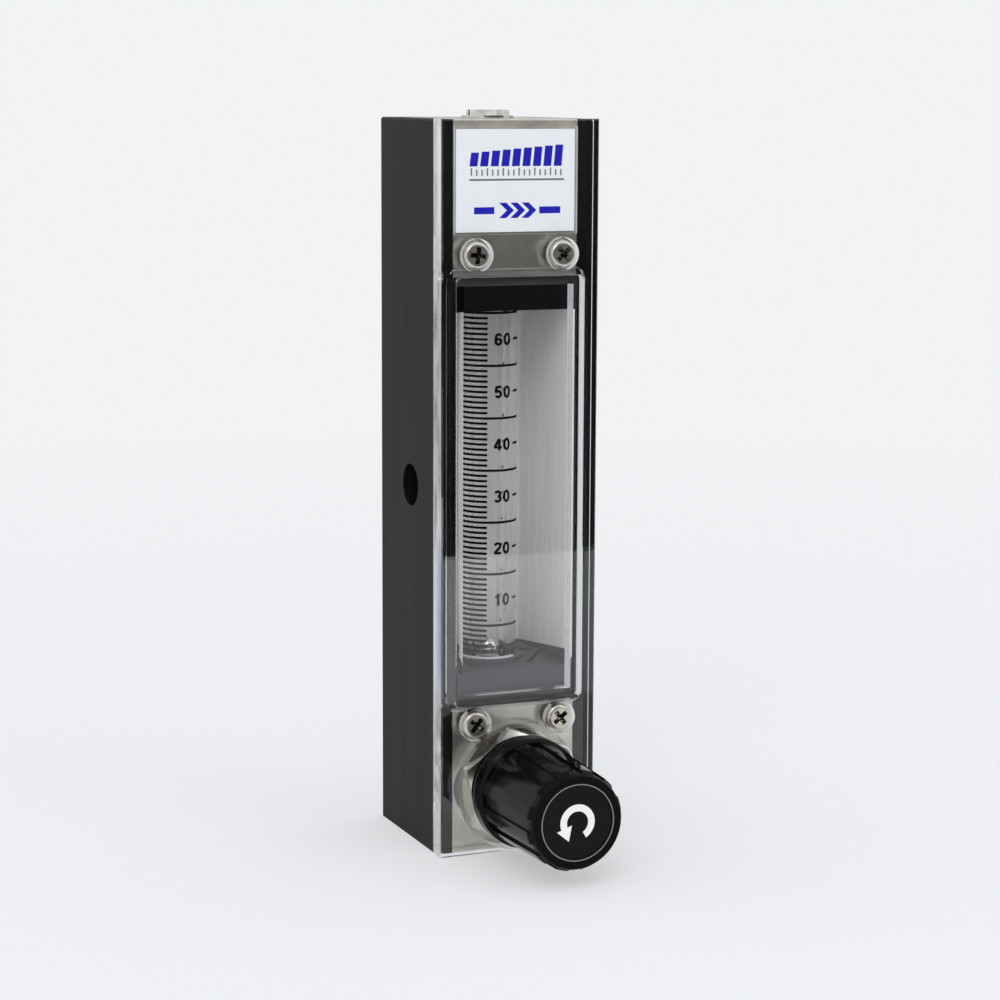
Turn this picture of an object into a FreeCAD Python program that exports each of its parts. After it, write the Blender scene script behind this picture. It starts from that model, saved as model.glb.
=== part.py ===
# Panel rotameter: aluminium channel, clear front cover, stainless end blocks, glass metering
# tube with a ball float, non-rising needle valve with a fluted knob, and a tube seal spindle.
# Millimetres. +X right, +Y towards the rear (the ports), +Z up. The origin is the centre of
# the underside, at half the depth, straight below the tube.
import FreeCAD, Part
import math
import os

os.makedirs("parts", exist_ok=True)

# Driving dimensions: body
body_depth = 32.6
cover_thickness = 4.2
cover_overhang = 0.1
cover_air_gap = 0.05
channel_width = 31.2
side_wall = 3.1
back_wall = 3.2
channel_corner = 0.8
channel_root = 0.5
edge_break = 0.3
fit_gap = 0.1
running_gap = 0.05
side_hole_radius = 4.0

# Driving dimensions: end blocks and ports
lower_block_height = 28.0
upper_block_height = 29.0
port_height = 12.5
port_boss_radius = 7.9
port_radius = 4.3
port_depth = 10.8
port_mouth = 0.9
flow_bore_radius = 2.0
panel_hole_radius = 2.1
panel_hole_depth = 6.0
panel_bolt_clearance = 2.7
panel_hole_inset = 4.0

# Driving dimensions: clear window box
window_side_margin = 2.8
window_sill = 0.6
window_lap = 0.4
window_corner = 1.0
window_wall = 1.75
window_front_wall = 1.75
window_proud = 0.2
flange_reach = 1.0
flange_thickness = 0.8

# Driving dimensions: label
label_side_margin = 3.75
label_height = 18.8
label_thickness = 0.3
label_top_margin = 1.9
label_pocket_border = 0.45
label_pocket_depth = 0.6

# Driving dimensions: screws
cover_screw_spacing = 17.2
cover_screw_inset_lower = 2.9
cover_screw_inset_upper = 4.2
cover_screw_radius = 1.25
cover_screw_length = 9.0
cover_screw_clearance = 0.15
pan_head_radius = 2.5
pan_head_height = 2.1
counterbore_radius = 3.1
counterbore_depth = 1.9
body_screw_spacing = 17.0
body_screw_inset = 4.5
body_screw_radius = 1.5
body_screw_length = 10.0
body_screw_head_radius = 2.8
body_screw_socket = 2.0

# Driving dimensions: tube, seats and float
tube_radius = 5.5
tube_bore_bottom = 2.45
tube_bore_top = 3.0
tube_polish = 0.5
scale_foot = 8.7
scale_length = 65.0
scale_head = 7.3
float_radius = 2.38
seat_height_lower = 6.5
seat_height_upper = 6.4
seat_front_gap = 0.4
seat_floor = 1.6
seat_collar = 0.8
seat_collar_wall = 1.3
seat_bevel = 1.5
cheek_thickness = 0.6
cheek_rise = 2.6
cheek_corner = 1.4
key_depth = 1.0
key_arm = 4.2
key_lip = 0.9
gasket_thickness = 1.6
gasket_bore = 2.6
stop_wall = 0.7
stop_flange = 0.8
liner_thickness = 0.5

# Driving dimensions: valve
cover_valve_radius = 12.3
bonnet_across_flats = 20.0
bonnet_turn = 9.0
bonnet_proud = 1.3
bonnet_head_height = 2.8
bonnet_collar_radius = 10.9
bonnet_thread_radius = 7.5
bonnet_thread_length = 9.2
bonnet_chamfer = 0.7
stem_radius = 2.5
stem_thread_radius = 2.0
stem_collar_radius = 3.4
stem_collar_depth = 1.25
stem_collar_length = 1.5
stem_clip_thickness = 0.8
stem_clip_radius = 3.9
oring_section = 0.8
carrier_radius = 4.4
carrier_flat = 3.6
carrier_length = 7.0
needle_radius = 1.2
needle_length = 6.2
needle_tip_radius = 0.25
seat_orifice_radius = 1.0
seat_insert_radius = 3.4
seat_insert_length = 3.0
valve_chamber_radius = 4.9
valve_turns = 6.5
valve_pitch = 0.635

# Driving dimensions: knob
knob_gap = 1.4
knob_skirt_radius = 10.6
knob_skirt_length = 3.8
knob_body_radius = 10.05
knob_front_radius = 9.4
knob_face_radius = 8.6
knob_length = 24.7
knob_round = 1.6
knob_flutes = 12
knob_flute_width = 2.5
knob_flute_depth = 0.5
knob_hub_radius = 5.0
knob_wall = 1.9
knob_pocket_depth = 14.0
knob_bore_depth = 19.0
disc_radius = 7.2
disc_thickness = 0.8
disc_rim = 0.35
set_screw_radius = 1.5
set_screw_length = 5.0
set_screw_offset = 6.0

# Driving dimensions: tube seal spindle
spindle_flange_radius = 4.9
spindle_flange_height = 0.45
spindle_head_flats = 7.4
spindle_head_height = 1.05
spindle_slot_width = 1.2
spindle_thread_radius = 4.0
spindle_thread_length = 7.0
spindle_stem_radius = 2.0
spindle_seal_radius = 3.6
spindle_seal_length = 3.0
spindle_lift = 4.0
follower_radius = 5.5
follower_height = 5.0
follower_socket_depth = 2.0
follower_hole_radius = 0.9
upper_chamber_radius = 4.5

# Places worked out from the driving dimensions
scale_zero_height = lower_block_height + scale_foot
upper_block_bottom = scale_zero_height + scale_length + scale_head
body_height = upper_block_bottom + upper_block_height
side_hole_height = body_height / 2
cover_width = channel_width + 2 * cover_overhang
window_width = channel_width - 2 * window_side_margin + 2 * cover_overhang
window_bottom = lower_block_height + window_sill
window_top = upper_block_bottom + window_lap
label_width = channel_width - 2 * label_side_margin
y_front = -body_depth / 2
y_cover = y_front + cover_thickness
y_rear = body_depth / 2
y_inner = y_rear - back_wall
y_body = y_cover + cover_air_gap
inner_half = channel_width / 2 - side_wall
block_half = inner_half - fit_gap
outlet_height = body_height - port_height
screw_z_lower = lower_block_height - cover_screw_inset_lower
screw_z_upper = upper_block_bottom + cover_screw_inset_upper
body_screw_z_lower = lower_block_height - body_screw_inset
body_screw_z_upper = upper_block_bottom + body_screw_inset
panel_z_lower = lower_block_height - panel_hole_inset
panel_z_upper = upper_block_bottom + panel_hole_inset
seat_top = lower_block_height + seat_height_lower
seat_bottom = upper_block_bottom - seat_height_upper
y_seat = y_cover + seat_front_gap
tube_bottom = lower_block_height + seat_floor + gasket_thickness
follower_bottom = upper_block_bottom - stop_flange
tube_top = follower_bottom - gasket_thickness - stop_flange
y_knob = y_front - bonnet_proud - knob_gap
y_knob_face = y_knob - knob_length

FORWARD = FreeCAD.Vector(0, -1, 0)
REARWARD = FreeCAD.Vector(0, 1, 0)
UP = FreeCAD.Vector(0, 0, 1)
RIGHT = FreeCAD.Vector(1, 0, 0)


def at(x, y, z):
    return FreeCAD.Vector(x, y, z)


def box(x_low, x_high, y_low, y_high, z_low, z_high):
    return Part.makeBox(x_high - x_low, y_high - y_low, z_high - z_low, at(x_low, y_low, z_low))


def rod(radius, start, direction, length):
    return Part.makeCylinder(radius, length, start, direction)


def ring(outer, inner, start, direction, length):
    return rod(outer, start, direction, length).cut(rod(inner, start, direction, length))


def turned(profile, base, direction):
    """Revolve (radius, distance) points about the line through base along direction."""
    points = [at(radius, 0, distance) for radius, distance in profile]
    face = Part.Face(Part.makePolygon(points + points[:1]))
    solid = face.revolve(at(0, 0, 0), UP, 360)
    solid.Placement = FreeCAD.Placement(base, FreeCAD.Rotation(UP, direction))
    return solid


def torus(major, section_radius, centre, direction):
    return Part.makeTorus(major, section_radius, centre, direction)


def prism(points, base, direction, length):
    """Extrude a closed outline of points in the plane square to direction."""
    placed = FreeCAD.Placement(base, FreeCAD.Rotation(UP, direction))
    face = Part.Face(Part.makePolygon([at(x, y, 0) for x, y in points + points[:1]]))
    solid = face.extrude(at(0, 0, length))
    solid.Placement = placed
    return solid


def hexagon(across_flats, turn_degrees=0.0):
    radius = across_flats / math.sqrt(3)
    angles = [math.radians(turn_degrees + 60 * step) for step in range(6)]
    return [(radius * math.cos(angle), radius * math.sin(angle)) for angle in angles]


def front_slab(half_width, z_low, z_high, y_low, y_high, corner):
    """A plate square to Y whose four corners are rounded."""
    slab = box(-half_width, half_width, y_low, y_high, z_low, z_high)
    if corner > 0:
        slab = slab.makeFillet(corner, edges_along(slab, REARWARD))
    return slab


def edges_along(solid, direction):
    """Straight edges parallel to direction."""
    found = []
    for edge in solid.Edges:
        if isinstance(edge.Curve, Part.Line):
            if abs(abs(edge.tangentAt(edge.FirstParameter).dot(direction)) - 1) < 1e-6:
                found.append(edge)
    return found


def mirrored_x(solid):
    return solid.mirror(at(0, 0, 0), RIGHT)


def cover_screw_places():
    half = cover_screw_spacing / 2
    return [(x, z) for z in (screw_z_lower, screw_z_upper) for x in (-half, half)]


def body_screw_places():
    half = body_screw_spacing / 2
    return [(x, z) for z in (body_screw_z_lower, body_screw_z_upper) for x in (-half, half)]


# Housing
def make_channel():
    outer = box(-channel_width / 2, channel_width / 2, y_body, y_rear, 0, body_height)
    rear_edges = [edge for edge in edges_along(outer, UP) if edge.CenterOfMass.y > 0]
    top_edges = [edge for edge in edges_along(outer, REARWARD) if edge.CenterOfMass.z > body_height / 2]
    outer = outer.makeFillet(channel_corner, rear_edges + top_edges)
    slot = box(-inner_half, inner_half, y_cover - back_wall, y_inner, -back_wall, body_height + back_wall)
    root_edges = [edge for edge in edges_along(slot, UP) if edge.CenterOfMass.y > 0]
    solid = outer.cut(slot.makeFillet(channel_root, root_edges))
    side_hole = rod(side_hole_radius, at(-channel_width, 0, side_hole_height), RIGHT, 2 * channel_width)
    solid = solid.cut(side_hole)
    for z in (port_height, outlet_height):
        solid = solid.cut(rod(port_boss_radius + fit_gap, at(0, 0, z), REARWARD, body_depth))
    for z in (panel_z_lower, panel_z_upper):
        solid = solid.cut(rod(panel_bolt_clearance, at(0, 0, z), REARWARD, body_depth))
    for x, z in body_screw_places():
        solid = solid.cut(countersunk(x, z, fit_gap))
    return solid


def countersunk(x, z, allowance):
    """Countersunk screw outline, driven in from the rear face."""
    head = body_screw_head_radius + allowance
    shank = body_screw_radius + allowance
    profile = [(0, 0), (head, 0), (shank, head - shank), (shank, body_screw_length), (0, body_screw_length)]
    return turned(profile, at(x, y_rear, z), FORWARD)


def make_body_screws():
    screws = []
    for x, z in body_screw_places():
        socket = prism(hexagon(body_screw_socket), at(x, y_rear, z), FORWARD, body_screw_head_radius / 2)
        screws.append(countersunk(x, z, 0).cut(socket))
    return Part.makeCompound(screws)


def make_liner():
    """Light U-shaped sheet that stands on the lower seat behind and beside the tube."""
    shell = channel_filler(seat_top, seat_bottom)
    half = block_half - liner_thickness
    back = y_inner - fit_gap - liner_thickness
    hollow = box(-half, half, y_seat - side_wall, back, seat_top - side_wall, seat_bottom + side_wall)
    hollow_edges = [edge for edge in edges_along(hollow, UP) if edge.CenterOfMass.y > 0]
    shell = shell.cut(hollow.makeFillet(channel_root + edge_break, hollow_edges))
    return shell.cut(cheek_wedge(2 * channel_width, fit_gap))


def channel_filler(z_low, z_high):
    """A block that fills the channel behind the window, clear of the channel's inner corners."""
    solid = box(-block_half, block_half, y_seat, y_inner - fit_gap, z_low, z_high)
    rear_edges = [edge for edge in edges_along(solid, UP) if edge.CenterOfMass.y > 0]
    return solid.makeFillet(channel_root + edge_break, rear_edges)


def cheek_wedge(width, allowance):
    """Wedge over the lower seat's top that rises towards the front."""
    front = y_seat - allowance
    back = y_inner - fit_gap
    top = seat_top + cheek_rise + allowance
    points = [(front, seat_top - allowance), (back, seat_top - allowance), (back, seat_top + allowance),
              (front + cheek_corner, top), (front, top - cheek_corner)]
    face = Part.Face(Part.makePolygon([at(-width / 2, y, z) for y, z in points + points[:1]]))
    return face.extrude(at(width, 0, 0))


# Clear front
def make_cover():
    solid = box(-cover_width / 2, cover_width / 2, y_front, y_cover, 0, body_height)
    front_edges = [edge for edge in solid.Edges if abs(edge.CenterOfMass.y - y_front) < 1e-6]
    solid = solid.makeChamfer(edge_break, front_edges)
    opening = front_slab(window_width / 2, window_bottom, window_top, y_front - cover_thickness,
                         y_cover + cover_thickness, window_corner)
    reach = flange_reach + fit_gap
    rebate = front_slab(window_width / 2 + reach, window_bottom - reach, window_top + reach,
                        y_cover - flange_thickness, y_cover + cover_thickness, window_corner + reach)
    solid = solid.cut(opening).cut(rebate)
    border = label_pocket_border
    low, high = label_span()
    pocket = box(-label_width / 2 - border, label_width / 2 + border, y_cover - label_pocket_depth,
                 y_cover + cover_thickness, low - border, high + border)
    solid = solid.cut(pocket)
    solid = solid.cut(rod(cover_valve_radius, at(0, 0, port_height), FORWARD, body_depth))
    for x, z in cover_screw_places():
        mouth = at(x, y_front, z)
        solid = solid.cut(rod(counterbore_radius, mouth, REARWARD, counterbore_depth))
        solid = solid.cut(rod(cover_screw_radius + cover_screw_clearance, mouth, REARWARD, cover_thickness))
    return solid


def label_span():
    high = body_height - label_top_margin
    return high - label_height, high


def make_label():
    low, high = label_span()
    return box(-label_width / 2, label_width / 2, y_body - label_thickness, y_body, low, high)


def make_window():
    half = window_width / 2 - fit_gap
    low = window_bottom + fit_gap
    high = window_top - fit_gap
    y_face = y_front - window_proud
    body = front_slab(half, low, high, y_face, y_cover, window_corner)
    front_edges = [edge for edge in body.Edges if abs(edge.BoundBox.YMax - y_face) < 1e-6]
    body = body.makeChamfer(window_proud, front_edges)
    flange = front_slab(half + flange_reach, low - flange_reach, high + flange_reach,
                        y_cover - flange_thickness + fit_gap, y_cover, window_corner + flange_reach)
    hollow = front_slab(half - window_wall, low + window_wall, high - window_wall,
                        y_face + window_front_wall, y_cover + cover_thickness, 0)
    return body.fuse(flange).cut(hollow).removeSplitter()


def make_cover_screws():
    y_head = y_front + counterbore_depth
    turns = [38, 52, 6, 47]
    screws = []
    for (x, z), turn in zip(cover_screw_places(), turns):
        shank = rod(cover_screw_radius, at(x, y_head, z), REARWARD, cover_screw_length)
        head = rod(pan_head_radius, at(x, y_head, z), FORWARD, pan_head_height)
        rim = [edge for edge in head.Edges if abs(edge.CenterOfMass.y - (y_head - pan_head_height)) < 1e-6]
        head = head.makeFillet(pan_head_height * 0.3, rim)
        screw = head.fuse(shank).cut(cross_recess(x, y_head - pan_head_height, z, turn))
        screws.append(screw)
    return Part.makeCompound(screws)


def cross_recess(x, y, z, turn):
    """Cross recess with a tapering depth, cut into a head whose top is at y."""
    arm = pan_head_radius * 0.62
    half = pan_head_radius * 0.18
    depth = pan_head_height * 0.6
    blades = []
    for angle in (turn, turn + 90):
        points = [(-arm, -half), (arm, -half), (arm, half), (-arm, half)]
        blade = prism(points, at(0, 0, 0), UP, depth)
        tip = [edge for edge in edges_along(blade, REARWARD) if edge.CenterOfMass.z > depth / 2]
        blade = blade.makeChamfer(depth * 0.45, tip)
        blade.rotate(at(0, 0, 0), UP, angle)
        blades.append(blade)
    recess = blades[0].fuse(blades[1])
    recess.Placement = FreeCAD.Placement(at(x, y, z), FreeCAD.Rotation(UP, REARWARD))
    return recess


# End blocks
def plain_block(z_low, z_high, port_z):
    solid = box(-block_half, block_half, y_body, y_inner, z_low, z_high)
    rear_edges = [edge for edge in edges_along(solid, UP) if edge.CenterOfMass.y > 0]
    solid = solid.makeChamfer(channel_root + edge_break, rear_edges)
    solid = solid.fuse(rod(port_boss_radius, at(0, y_inner, port_z), REARWARD, back_wall))
    port = [(0, 0), (port_radius + port_mouth, 0), (port_radius, port_mouth), (port_radius, port_depth),
            (0, port_depth)]
    return solid.cut(turned(port, at(0, y_rear, port_z), FORWARD))


def tapped_holes(solid, cover_z, body_z, panel_z):
    y_head = y_front + counterbore_depth
    for side in (-1, 1):
        x = side * cover_screw_spacing / 2
        solid = solid.cut(rod(cover_screw_radius + running_gap, at(x, y_head, cover_z), REARWARD,
                              cover_screw_length + fit_gap))
        x = side * body_screw_spacing / 2
        solid = solid.cut(rod(body_screw_radius + running_gap, at(x, y_rear, body_z), FORWARD,
                              body_screw_length + fit_gap))
    return solid.cut(rod(panel_hole_radius, at(0, y_inner, panel_z), FORWARD, panel_hole_depth))


def make_inlet_block():
    solid = plain_block(0, lower_block_height, port_height)
    solid = tapped_holes(solid, screw_z_lower, body_screw_z_lower, panel_z_lower)
    valve_start = at(0, y_body, port_height)
    thread_end = y_body + bonnet_thread_length
    solid = solid.cut(rod(bonnet_thread_radius + running_gap, valve_start, REARWARD, bonnet_thread_length))
    solid = solid.cut(rod(valve_chamber_radius, at(0, thread_end, port_height), REARWARD,
                          y_valve_seat() - thread_end))
    solid = solid.cut(rod(seat_insert_radius, at(0, y_valve_seat(), port_height), REARWARD,
                          seat_insert_length))
    solid = solid.cut(rod(flow_bore_radius, valve_start, REARWARD, y_rear - port_depth - y_body))
    return solid.cut(rod(flow_bore_radius, at(0, 0, port_height), UP, lower_block_height))


def y_valve_seat():
    """Front face of the orifice insert, which the needle's tip enters when the valve is shut."""
    return y_carrier_rear() + needle_length - seat_insert_length + edge_break


def make_outlet_block():
    solid = plain_block(upper_block_bottom, body_height, outlet_height)
    solid = tapped_holes(solid, screw_z_upper, body_screw_z_upper, panel_z_upper)
    follower_space = follower_height - stop_flange + spindle_lift + fit_gap
    solid = solid.cut(rod(follower_radius + fit_gap, at(0, 0, upper_block_bottom), UP, follower_space))
    seal_z = body_height - spindle_thread_length - spindle_seal_length
    solid = solid.cut(rod(upper_chamber_radius, at(0, 0, upper_block_bottom), UP,
                          seal_z - upper_block_bottom))
    solid = solid.cut(rod(spindle_seal_radius, at(0, 0, seal_z), UP, spindle_seal_length))
    solid = solid.cut(rod(spindle_thread_radius + fit_gap, at(0, 0, body_height - spindle_thread_length),
                          UP, spindle_thread_length))
    return solid.cut(rod(flow_bore_radius, at(0, 0, outlet_height), REARWARD, y_rear - port_depth + fit_gap))


# Tube, seats and float
def make_lower_seat():
    solid = channel_filler(lower_block_height, seat_top)
    front_edges = [edge for edge in edges_along(solid, UP) if edge.CenterOfMass.y < 0]
    solid = solid.makeFillet(edge_break, front_edges)
    cheek = cheek_wedge(cheek_thickness, 0)
    for side in (-1, 1):
        ear = cheek.copy()
        ear.translate(at(side * (block_half - cheek_thickness / 2), 0, 0))
        solid = solid.fuse(ear)
    socket = tube_radius + fit_gap
    solid = solid.fuse(rod(socket + seat_collar_wall, at(0, 0, lower_block_height), UP,
                           seat_height_lower + seat_collar))
    solid = solid.cut(rod(socket, at(0, 0, lower_block_height + seat_floor), UP, body_height))
    solid = solid.cut(rod(flow_bore_radius, at(0, 0, 0), UP, body_height))
    key = moulded_key()
    return solid.cut(key).cut(mirrored_x(key)).removeSplitter()


def moulded_key():
    """Shallow chevron recess in the top of the lower seat, beside the tube."""
    inner = tube_radius + fit_gap + seat_collar_wall + edge_break
    outer = block_half - cheek_thickness - edge_break
    apex_y = (outer - inner) * 0.7
    low = seat_top - key_depth
    pocket = [(inner, apex_y - key_lip), (outer, apex_y), (inner, apex_y + key_arm)]
    start_x, start_y = inner - 2.6 * key_lip, y_seat + key_arm
    groove = [(start_x, start_y), (start_x + key_lip, start_y - key_lip / 2),
              (outer, key_lip * 2 / 3), (outer, key_lip * 5 / 3)]
    shapes = []
    for points in (pocket, groove):
        shapes.append(prism(points, at(0, 0, low), UP, 2 * key_depth))
    return shapes[0].fuse(shapes[1])


def make_upper_seat():
    top = upper_block_bottom
    solid = channel_filler(seat_bottom, top)
    bevelled = [edge for edge in edges_along(solid, UP) + edges_along(solid, RIGHT)
                if edge.CenterOfMass.y < 0 and edge.CenterOfMass.z > seat_bottom + edge_break]
    solid = solid.makeChamfer(seat_bevel, bevelled)
    return solid.cut(rod(tube_radius + fit_gap, at(0, 0, seat_bottom), UP, seat_height_upper))


def make_tube():
    length = tube_top - tube_bottom
    solid = rod(tube_radius, at(0, 0, tube_bottom), UP, length)
    solid = solid.cut(Part.makeCone(tube_bore_bottom, tube_bore_top, length, at(0, 0, tube_bottom), UP))
    rims = [edge for edge in solid.Edges
            if isinstance(edge.Curve, Part.Circle) and abs(edge.Curve.Radius - tube_radius) < 1e-6]
    return solid.makeFillet(tube_polish, rims)


def make_lower_gasket():
    return ring(tube_radius, gasket_bore, at(0, 0, tube_bottom - gasket_thickness), UP, gasket_thickness)


def make_upper_gasket():
    return ring(tube_radius, gasket_bore, at(0, 0, tube_top + stop_flange), UP, gasket_thickness)


def make_inlet_stop():
    """Hollow plug that stands on the seat's floor and carries the float on its rim."""
    base = lower_block_height + seat_floor
    rim = scale_zero_height - float_radius
    radius = tube_bore_bottom - running_gap
    bore = radius - stop_wall
    contact = math.sqrt(float_radius ** 2 - bore ** 2)
    top = min(rim + float_radius - contact - fit_gap, rim + stop_wall)
    return ring(radius, bore, at(0, 0, base), UP, top - base)


def make_outlet_stop():
    """Plug hung on the tube's upper end, with three slots past the float."""
    float_top = scale_zero_height + scale_length + float_radius
    depth = tube_top - float_top - fit_gap
    share = (tube_top - depth - tube_bottom) / (tube_top - tube_bottom)
    bore_there = tube_bore_bottom + (tube_bore_top - tube_bore_bottom) * share
    radius = bore_there - running_gap
    solid = rod(radius, at(0, 0, tube_top - depth), UP, depth)
    solid = solid.fuse(rod(tube_radius - tube_polish, at(0, 0, tube_top), UP, stop_flange))
    solid = solid.cut(rod(radius - stop_wall, at(0, 0, tube_top - depth), UP, depth + stop_flange))
    for angle in (0, 120, 240):
        slot = box(0, tube_radius, -stop_wall / 2, stop_wall / 2, tube_top - depth, tube_top - edge_break)
        slot.rotate(at(0, 0, 0), UP, angle)
        solid = solid.cut(slot)
    return solid


def make_float():
    return Part.makeSphere(float_radius, at(0, 0, scale_zero_height))


# Valve
def valve_line(y):
    return at(0, y, port_height)


def y_clip():
    """Rear face of the ring that holds the stem in the bonnet."""
    return y_front + stem_collar_depth + stem_collar_length + stem_clip_thickness


def y_carrier_rear():
    """Rear end of the needle's carrier with the valve shut."""
    return y_clip() + edge_break + valve_turns * valve_pitch + carrier_length


def keyed_outline(radius, flat):
    """Round bar with two flats, as a solid along Y to be cut to length."""
    bar = rod(radius, valve_line(y_front - body_depth), REARWARD, 3 * body_depth)
    return bar.common(box(-flat, flat, -2 * body_depth, 2 * body_depth, 0, body_height))


def slab_between(y_low, y_high):
    return box(-body_height, body_height, y_low, y_high, -body_height, 2 * body_height)


def make_bonnet():
    head_start = valve_line(y_front - bonnet_proud + bonnet_head_height)
    height = bonnet_head_height
    solid = prism(hexagon(bonnet_across_flats, 90 + bonnet_turn), head_start, FORWARD, height)
    corner = bonnet_across_flats / math.sqrt(3)
    round_off = [(0, 0), (corner, 0), (corner, height - bonnet_chamfer),
                 (corner - 2 * bonnet_chamfer, height), (0, height)]
    solid = solid.common(turned(round_off, head_start, FORWARD))
    solid = solid.fuse(rod(bonnet_collar_radius, head_start, REARWARD, y_body - head_start.y))
    solid = solid.fuse(rod(bonnet_thread_radius, valve_line(y_body), REARWARD,
                           bonnet_thread_length - 2 * oring_section))
    solid = solid.cut(rod(stem_radius + running_gap, valve_line(y_front - body_depth), REARWARD,
                          2 * body_depth))
    collar_space = slab_between(y_clip() - stem_clip_thickness - stem_collar_length - fit_gap, y_rear)
    solid = solid.cut(rod(stem_clip_radius + fit_gap, valve_line(y_front), REARWARD,
                          2 * body_depth).common(collar_space))
    keyway = keyed_outline(carrier_radius + fit_gap, carrier_flat + fit_gap)
    return solid.cut(keyway.common(slab_between(y_clip(), y_rear)))


def make_bonnet_oring():
    centre = y_body + bonnet_thread_length - oring_section
    return torus(bonnet_thread_radius - oring_section, oring_section, valve_line(centre), REARWARD)


def y_stem_seal():
    """Centre of the stem seal, half way along the stem's plain run in the bonnet's head."""
    y_collar = y_clip() - stem_clip_thickness - stem_collar_length
    return (y_front - bonnet_proud + y_collar) / 2


def make_stem():
    y_end = y_knob - knob_bore_depth
    y_collar_rear = y_clip() - stem_clip_thickness
    y_collar = y_collar_rear - stem_collar_length
    solid = rod(stem_radius, valve_line(y_end), REARWARD, y_collar_rear - y_end)
    solid = solid.fuse(rod(stem_collar_radius, valve_line(y_collar), REARWARD, stem_collar_length))
    neck = stem_thread_radius
    solid = solid.fuse(rod(neck, valve_line(y_collar_rear), REARWARD,
                           stem_clip_thickness + carrier_length - edge_break))
    flat = box(-knob_skirt_radius, knob_skirt_radius, y_end - edge_break, y_knob + edge_break,
               port_height - 2 * stem_radius, port_height - stem_flat())
    solid = solid.cut(flat)
    groove = ring(stem_radius, stem_radius - oring_section, valve_line(y_stem_seal() - oring_section),
                  REARWARD, 2 * oring_section)
    return solid.cut(groove)


def stem_flat():
    return stem_radius * 0.76


def make_stem_clip():
    """Open ring pressed into the bonnet behind the stem's collar."""
    start = valve_line(y_clip() - stem_clip_thickness + running_gap)
    solid = ring(stem_clip_radius + fit_gap, stem_thread_radius + fit_gap, start, REARWARD,
                 stem_clip_thickness - running_gap)
    gap = box(-stem_thread_radius / 2, stem_thread_radius / 2, y_front, y_rear, port_height,
              port_height + 2 * stem_clip_radius)
    return solid.cut(gap)


def make_stem_oring():
    section = oring_section / 2
    return torus(stem_radius - section, section, valve_line(y_stem_seal()), REARWARD)


def make_needle():
    """Keyed carrier on the stem's thread, with the needle on its rear end."""
    rear = y_carrier_rear()
    front = rear - carrier_length
    solid = keyed_outline(carrier_radius, carrier_flat).common(slab_between(front, rear))
    solid = solid.fuse(Part.makeCone(needle_radius, needle_tip_radius, needle_length,
                                     valve_line(rear), REARWARD))
    bore_length = carrier_length - edge_break
    return solid.cut(rod(stem_thread_radius + running_gap, valve_line(front), REARWARD, bore_length))


def make_valve_seat():
    start = valve_line(y_valve_seat())
    solid = ring(seat_insert_radius, seat_orifice_radius + running_gap, start, REARWARD, seat_insert_length)
    mouth = Part.makeCone(needle_radius + running_gap, seat_orifice_radius + running_gap,
                          seat_insert_length / 2, start, REARWARD)
    return solid.cut(mouth)


# Knob
def knob_profile():
    """Outline (radius, distance from the skirt's rear face) of the knob before its flutes."""
    return [
        (0, 0),
        (knob_skirt_radius - edge_break, 0),
        (knob_skirt_radius, edge_break),
        (knob_skirt_radius, knob_skirt_length - 2 * edge_break),
        (knob_skirt_radius - 2 * edge_break, knob_skirt_length),
        (knob_body_radius, knob_skirt_length),
        (knob_front_radius, knob_length - knob_round),
        (knob_face_radius, knob_length),
        (0, knob_length),
    ]


def flute_cutter():
    """Flat-bottomed flute to the right of the axis, from the skirt to the face, parallel to the taper."""
    y_start = y_knob - knob_skirt_length
    y_end = y_knob_face - edge_break
    taper = (knob_body_radius - knob_front_radius) / (knob_length - knob_round - knob_skirt_length)
    floor_start = knob_body_radius - knob_flute_depth
    floor_end = floor_start - taper * (y_start - y_end)
    points = [(floor_start, y_start), (floor_end, y_end), (knob_skirt_radius, y_end),
              (knob_skirt_radius, y_start)]
    return prism(points, at(0, 0, port_height - knob_flute_width / 2), UP, knob_flute_width)


def make_knob():
    solid = turned(knob_profile(), valve_line(y_knob), FORWARD)
    for step in range(knob_flutes):
        flute = flute_cutter()
        flute.rotate(valve_line(y_knob), REARWARD, 360 * step / knob_flutes)
        solid = solid.cut(flute)
    pocket = ring(knob_front_radius - knob_flute_depth - knob_wall, knob_hub_radius, valve_line(y_knob),
                  FORWARD, knob_pocket_depth)
    boss = rod(2 * set_screw_radius, valve_line(y_knob - set_screw_offset), at(0, 0, -1), knob_front_radius)
    solid = solid.cut(pocket.cut(boss))
    bore = rod(stem_radius + running_gap, valve_line(y_knob), FORWARD, knob_bore_depth + running_gap)
    flat = box(-knob_skirt_radius, knob_skirt_radius, y_knob_face, y_knob, port_height - knob_skirt_radius,
               port_height - stem_flat() - running_gap)
    solid = solid.cut(bore.cut(flat))
    solid = solid.cut(rod(set_screw_radius + running_gap, valve_line(y_knob - set_screw_offset),
                          at(0, 0, -1), knob_skirt_radius))
    return solid.cut(rod(disc_radius, valve_line(y_knob_face), REARWARD, disc_thickness))


def make_knob_disc():
    solid = rod(disc_radius, valve_line(y_knob_face), REARWARD, disc_thickness)
    return solid.cut(rod(disc_radius - disc_rim, valve_line(y_knob_face), REARWARD, disc_thickness / 4))


def make_set_screw():
    down = at(0, 0, -1)
    start = valve_line(y_knob - set_screw_offset) + down * (stem_flat() + running_gap)
    solid = rod(set_screw_radius, start, down, set_screw_length)
    mouth = start + down * set_screw_length
    return solid.cut(prism(hexagon(set_screw_radius), mouth, UP, set_screw_length / 3))


# Tube seal spindle
def spindle_tip():
    return follower_bottom + follower_height - follower_socket_depth + fit_gap


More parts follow.
